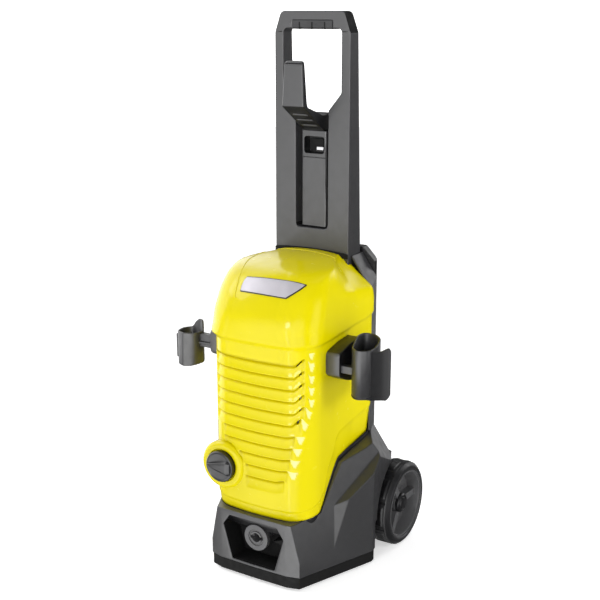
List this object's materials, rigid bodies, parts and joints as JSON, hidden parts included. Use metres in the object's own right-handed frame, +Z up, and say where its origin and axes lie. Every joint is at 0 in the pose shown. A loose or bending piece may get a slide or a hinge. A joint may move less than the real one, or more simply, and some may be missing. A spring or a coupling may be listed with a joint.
{
  "type": "pressure washer",
  "caption": "Upright electric pressure washer on two wheels, with a sliding handle, hose hook, rotary switch and side holders for lance and spray gun.",
  "frame": {"origin": "on the floor, under the middle of the machine's box, with the handle pulled out", "axes": "+Z up, the front with the louvres and the hose outlet faces -Y, +X to the viewer's right"},
  "size_m": [0.398, 0.331, 0.883],
  "materials": {
    "yellow_shell": "glossy injection-moulded",
    "grey_plastic": "fine satin texture",
    "black_plastic": "satin moulded",
    "coupling_grey": "satin moulded",
    "soft_grip": "soft-touch",
    "rubber": "matt",
    "tyre_black": "satin hard plastic tread",
    "silver_plate": "satin silver",
    "steel": "bright",
    "aluminium": "die-cast",
    "brass": "turned"
  },
  "bodies": {
    "housing": {"axle": "steel", "badge_backing": "black_plastic", "badge_plate": "silver_plate", "base_housing": "grey_plastic", "base_tray": "black_plastic", "bearings": "steel", "bracket_left": "grey_plastic", "bracket_right": "grey_plastic", "cable_gland": "black_plastic", "capacitor": "aluminium", "capacitor_saddle": "black_plastic", "cover_screws": "steel", "end_shield": "black_plastic", "front_feet": "rubber", "front_shell": "yellow_shell", "gear_housing": "aluminium", "gun_holder": "grey_plastic", "handle_guide_left": "black_plastic", "handle_guide_right": "black_plastic", "inlet_filter": "black_plastic", "inlet_pipe": "black_plastic", "lance_holder": "grey_plastic", "motor_buffers": "rubber", "motor_casing": "steel", "outlet_coupling": "coupling_grey", "outlet_pipe": "steel", "outlet_recess": "black_plastic", "piston_springs": "steel", "pistons": "steel", "pump_block": "aluminium", "pump_head": "aluminium", "rear_cover": "black_plastic", "rear_frame": "grey_plastic", "stator": "steel", "switch_box": "black_plastic", "unloader_valve": "brass", "water_inlet": "black_plastic"},
    "handle": {"mast_frame": "grey_plastic", "mast_back": "grey_plastic", "mast_screws": "steel", "handle_rail_left": "aluminium", "handle_rail_right": "aluminium", "grip_insert": "soft_grip", "channel_panel": "grey_plastic", "hose_hook": "grey_plastic", "catch_spring": "steel"},
    "catch": {"handle_catch": "black_plastic", "latch_tongue": "steel"},
    "knob": {"switch_knob": "black_plastic", "knob_spindle": "black_plastic"},
    "wheel_left": {"tyre_left": "tyre_black", "rim_left": "black_plastic", "hub_cap_left": "black_plastic"},
    "wheel_right": {"tyre_right": "tyre_black", "rim_right": "black_plastic", "hub_cap_right": "black_plastic"},
    "rotor": {"motor_shaft": "steel", "rotor_core": "steel", "cooling_fan": "black_plastic", "wobble_plate": "steel"}
  },
  "joints": [
    {"name": "handle_slide", "type": "slide", "parent": "housing", "child": "handle", "axis": [0, 0, 1], "range_m": [-0.18, 0]},
    {"name": "catch_press", "type": "slide", "parent": "handle", "child": "catch", "axis": [0, 1, 0], "range_m": [0, 0.004], "stiffness_N_per_m": 400, "springref_m": -0.001, "deforming": ["catch_spring"]},
    {"name": "knob_turn", "type": "hinge", "parent": "housing", "child": "knob", "pos_m": [-0.06, -0.155, 0.184], "axis": [0, 1, 0], "range_deg": [0, 90]},
    {"name": "wheel_left_spin", "type": "hinge", "parent": "housing", "child": "wheel_left", "pos_m": [-0.132, 0.085, 0.072], "axis": [1, 0, 0], "continuous": true},
    {"name": "wheel_right_spin", "type": "hinge", "parent": "housing", "child": "wheel_right", "pos_m": [0.132, 0.085, 0.072], "axis": [1, 0, 0], "continuous": true},
    {"name": "rotor_spin", "type": "hinge", "parent": "housing", "child": "rotor", "pos_m": [0, -0.062, 0.28], "axis": [0, 0, 1], "continuous": true}
  ]
}
